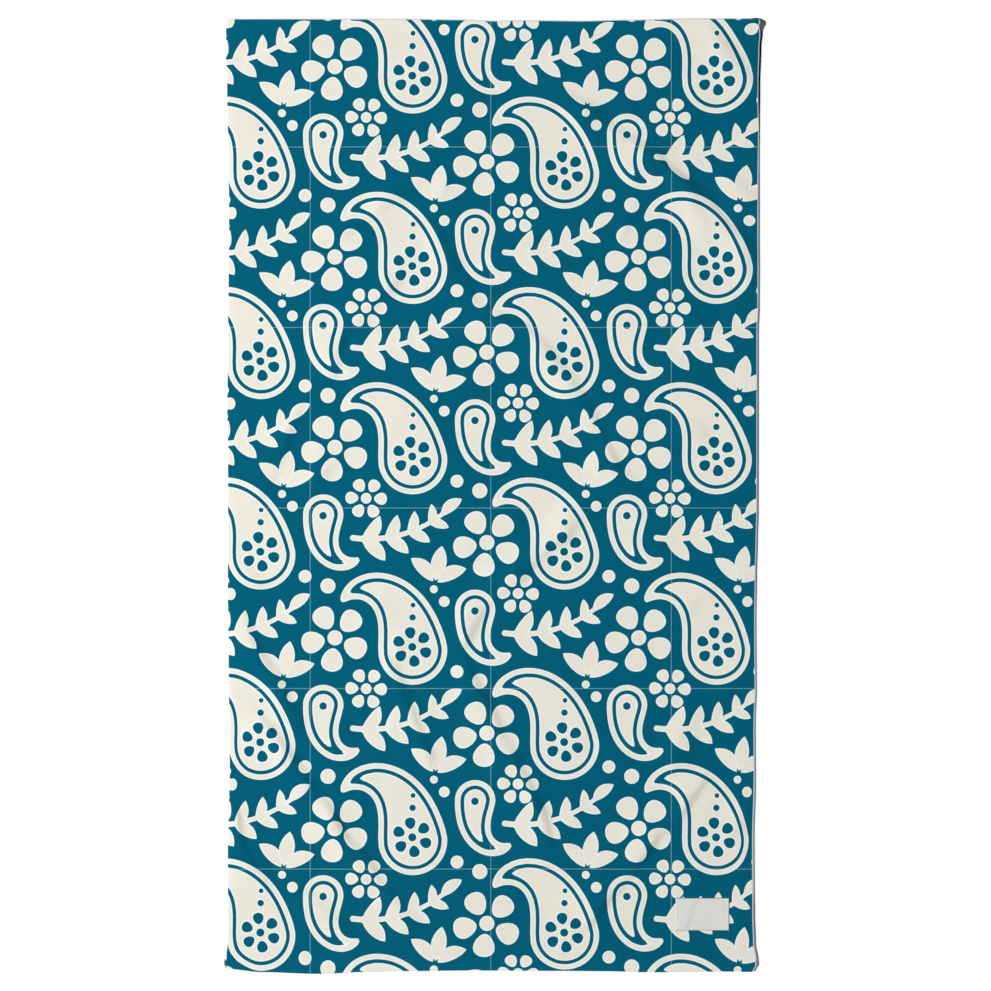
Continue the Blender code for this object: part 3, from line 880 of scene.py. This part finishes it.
def hemDimples(across, along):
    # a shallow groove with a dimple at each stitch
    inset = hemSewing["inset"]
    fromSide, fromEnd = fromEdges(towelCloth, across, along)
    grooves = []
    for here, other, run in ((fromSide, fromEnd, along), (fromEnd, fromSide, across)):
        groove = ramp(abs(here - inset), *towelLook["groove"])
        beat = calc("COSINE", run * (2 * math.pi / hemSewing["pitch"])) * towelLook["dimple"]
        groove = groove * (beat + (1 - towelLook["dimple"]))
        grooves.append(groove * ramp(other, inset - towelLook["grooveEnd"], inset))
    return union(grooves)


def printedColor(place, across, along):
    layout = useGroup(layoutGroup, {
        "Print Place": startNode(place.tree, "ShaderNodeAttribute", attribute_name="printPlace")["Vector"],
        "Place": place, **design["drawn"]})
    ways = zip((across, along), towelLook["hairlineAt"], towelCloth["shift"])
    lines = [nearestLine(value, at - shift, towelLook["hairlineEvery"]) for value, at, shift in ways]
    lines = ramp(calc("MINIMUM", *lines), *towelLook["hairlineFade"])
    color = blend(lines, towelLook["teal"], towelLook["hairline"])
    color = blend(layout["Cream"], color, towelLook["cream"])
    return blend(layout["Rim"] * layout["Cream"], color, towelLook["rim"])


def stripShadeColor(along):
    # the side hem's grey with painted shade along it, each tone at its place along the towel; the corner ears
    # take it too
    low, high = sideStripShade[0][0], sideStripShade[-1][0]
    share = addNode("ShaderNodeMapRange", {"Value": along, "From Min": low, "From Max": high})
    strip = addNode("ShaderNodeValToRGB", {0: share})
    stops = strip.socket.node.color_ramp.elements
    for k, (where, tone) in enumerate(sideStripShade):
        share = (where - low) / (high - low)
        stop = stops[k] if k < 2 else stops.new(share)
        stop.position, stop.color = share, linear(*tone)
    return strip


def printedTerry():
    material, tree = newMaterial("printedTerry")
    place = objectPlace(tree)
    _, across, along = flatPlace(tree, "clothFlat")
    color = printedColor(place, across, along)
    # the print stops short of the right edge, then a bare line and the side hem's strip, grey with painted
    # shade
    strips = startNode(tree, "ShaderNodeAttribute", attribute_name="hemStrips")["Vector"]
    strip, bare, fold = split(strips)
    soft = towelLook["stripEdge"]
    color = blend(ramp(fold, -soft, soft), color, towelLook["fold"])
    color = blend(ramp(bare, -soft, soft), color, towelLook["paleLine"])
    color = blend(ramp(strip, -soft, soft), color, stripShadeColor(along))
    # painted shade darkens the left rim and the line where the top fold turns over, and the hems at both ends
    # and at the left are a little paler
    fromLeft = across + towelCloth["size"][0] / 2
    rimShadeAndPaleHems = ramp(abs(fold - towelLook["foldAt"]), *towelLook["foldTurn"])
    rimShadeAndPaleHems = rimShadeAndPaleHems * ramp(fromLeft, *towelLook["leftRim"])
    ends = ramp(fromEdges(towelCloth, across, along)[1], *towelLook["hemEnds"])
    rimShadeAndPaleHems = rimShadeAndPaleHems * calc("MAXIMUM", ends, ramp(fromLeft, *towelLook["hemSide"]))
    pile = useGroup(pileGroup, {"Place": place, **towelLook["pile"]})
    color = shaded(scaled(color, rimShadeAndPaleHems), pile["Shade"], towelLook["pileShade"])
    color = shaded(color, pile["Drift"], towelLook["driftShade"])
    height = pile["Height"] - hemDimples(across, along) * towelLook["grooveDepth"]
    return finishCloth(material, color, height, **towelLook["finish"])


def terryBack():
    material, tree = newMaterial("terryBack")
    place = objectPlace(tree)
    pile = useGroup(pileGroup, {"Place": place, **towelLook["backPile"]})
    color = shaded(towelLook["backCream"], pile["Shade"], towelLook["backShade"])
    color = shaded(color, pile["Drift"], towelLook["driftShade"])
    return finishCloth(material, color, pile["Height"], **towelLook["backFinish"])


def threadMaterial(name, shade, roughness, tone=None):
    # twisted yarn of one tone, or without it the print's own colours
    material, tree = newMaterial(name)
    place = objectPlace(tree)
    color = tone or printedColor(place, *flatPlace(tree, "clothFlat")[1:])
    yarn = useGroup(yarnGroup, {"Place": place, **threadLook["twist"]})
    color = shaded(color, yarn["Shade"], shade)
    return finishCloth(material, color, yarn["Height"], roughness=roughness, **threadLook["finish"])


patchLook = {
    "middle": linear(224, 224, 219), "border": linear(232, 232, 229), "edge": linear(122, 122, 124),
    "borderEdge": (2.0, 3.6), "edgeSoft": 0.4,
    "edgeLines": {"top": 1.3, "right": 1.1, "bottom": 0.8},     # painted shadow lines along three of its edges, none on the lit left
    "weave": {"Bands": 1250.0, "Cross Bands": 1900.0}, "weaveShade": 0.05,
    "finish": {"bump": 0.6, "depth": 0.00015, "roughness": 0.62, "sheen": 0.15, "specular": 0.3},
}


def wovenPatch():
    material, tree = newMaterial("wovenPatch")
    place, across, along = flatPlace(tree, "patchFlat")
    halfWidth, halfHeight = patchCloth["size"][0] / 2, patchCloth["size"][1] / 2
    insets = {
        "left": across + halfWidth, "right": halfWidth - across,
        "bottom": along + halfHeight, "top": halfHeight - along}
    # paler border along the left and top only: the folded double edge, partly a painted highlight on the
    # sides that face the light
    border = ramp(calc("MINIMUM", insets["left"], insets["top"]), *patchLook["borderEdge"])
    color = blend(border, patchLook["border"], patchLook["middle"])
    # painted shadow: the edge colour drawn as thin dark lines at the top, right and bottom
    for edge, width in patchLook["edgeLines"].items():
        shadowLine = ramp(insets[edge], width - patchLook["edgeSoft"], width)
        color = blend(shadowLine, patchLook["edge"], color)
    yarn = useGroup(yarnGroup, {"Place": place, **patchLook["weave"]})
    color = shaded(color, yarn["Shade"], patchLook["weaveShade"])
    return finishCloth(material, color, yarn["Height"], **patchLook["finish"])


towel = makeTowel()
towel.data.materials.append(printedTerry())
towel.data.materials.append(terryBack())
print("terry sheet:", len(towel.data.polygons), "faces")

hemStitches, stitchFlat = makeStitches("hemStitches", towelCloth, hemSewing, clothSurfaces)
storeFlat(hemStitches, "clothFlat", stitchFlat)
storePrint(hemStitches, *stitchFlat.T)
hemStitches.data.materials.append(threadMaterial("printedThread", shade=0.08, roughness=0.7))
creamThread = threadMaterial("creamThread", shade=0.1, roughness=0.65, tone=linear(232, 228, 216))
hemStitches.data.materials.append(creamThread)
print("hem stitches:", len(hemStitches.data.polygons), "faces")

patch, patchFlat, _, _ = closedSheet("wovenPatch", patchCloth, patchSurfaces)
storeFlat(patch, "patchFlat", patchFlat)
patch.data.materials.append(wovenPatch())
patchStitches, _ = makeStitches("patchStitches", patchCloth, patchSewing, patchSurfaces)
patchThread = threadMaterial("patchThread", shade=0.1, roughness=0.65, tone=linear(222, 222, 219))
patchStitches.data.materials.append(patchThread)
print("patch:", len(patch.data.polygons), "faces, stitches:", len(patchStitches.data.polygons))

# lights and camera in metres and watts
studio = {
    "sunTilt": 50.0, "sunStrength": 1.03, "sunSpread": 25.0,
    "panelAt": (-2.6, 0.2, 2.2), "panelTilt": 50.0, "panelSize": 1.6, "panelStrength": 54.0,
    "worldStrength": 0.50, "backdrop": 0.92,
    "floor": linear(253, 253, 253), "floorGlow": 0.55, "floorMottling": 0.006, "mottlingScale": 3.0,
    "floorShare": (0.40, 0.49, 0.73, 1.0),    # painted shade: darker on the left, where the side panel lights it most, and full from the towel's right edge
    "floorHalf": 9000.0, "floorDown": -0.3,   # in millimetres
    "lens": 120.0, "field": 1.8006, "centre": (0.0007, 0.0007), "focusHeight": 0.003,
}


def makeFloor():
    # a wide square with a very faint mottling, a painted glow, and painted shade that darkens it on the left
    half, down = studio["floorHalf"], studio["floorDown"]
    points = np.array([(-half, -half, down), (half, -half, down), (half, half, down), (-half, half, down)])
    floor = meshFromFaces("floor", points, np.array([[0, 1, 2, 3]]))
    material, tree = newMaterial("paleFloor")
    place = objectPlace(tree)
    share = ramp(split(place)[0], *studio["floorShare"])
    mottling = noise(place, studio["mottlingScale"])
    color = scaled(shaded(studio["floor"], mottling, studio["floorMottling"]), share)
    fill(material.node_tree.nodes["Principled BSDF"].inputs, {
        "Base Color": color, "Emission Color": color, "Emission Strength": studio["floorGlow"],
        "Roughness": 0.85, "Sheen Roughness": 0.45, "Specular IOR Level": 0.2})
    floor.data.materials.append(material)


def makeStudio():
    sun, panel = bpy.data.lights.new("keySun", "SUN"), bpy.data.lights.new("sidePanel", "AREA")
    sun.energy, sun.angle = studio["sunStrength"], math.radians(studio["sunSpread"])
    panel.shape, panel.size, panel.energy = "SQUARE", studio["panelSize"], studio["panelStrength"]
    addObject("keySun", sun, tilt=studio["sunTilt"])
    addObject("sidePanel", panel, studio["panelAt"], studio["panelTilt"])
    world = bpy.data.worlds.new("softRoom")
    world.use_nodes = True
    # the room's light is soft and weak, but past the floor's end it looks as pale as the floor
    seen = startNode(world.node_tree, "ShaderNodeLightPath")["Is Camera Ray"]
    strength = ramp(seen, 0.0, 1.0, studio["worldStrength"], studio["backdrop"])
    fill(world.node_tree.nodes["Background"].inputs, {0: (1.0, 1.0, 1.0, 1.0), 1: strength})
    camera = bpy.data.cameras.new("camera")
    camera.lens = studio["lens"]
    away = studio["field"] * studio["lens"] / camera.sensor_width
    scene = bpy.context.scene
    scene.world = world
    scene.camera = addObject("camera", camera, (*studio["centre"], studio["focusHeight"] + away))
    scene.view_settings.view_transform = "Standard"


makeFloor()
makeStudio()
print("studio ready")

for piece in (towel, hemStitches, patch, patchStitches):
    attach(piece, "root")
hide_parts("towel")
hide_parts("label")
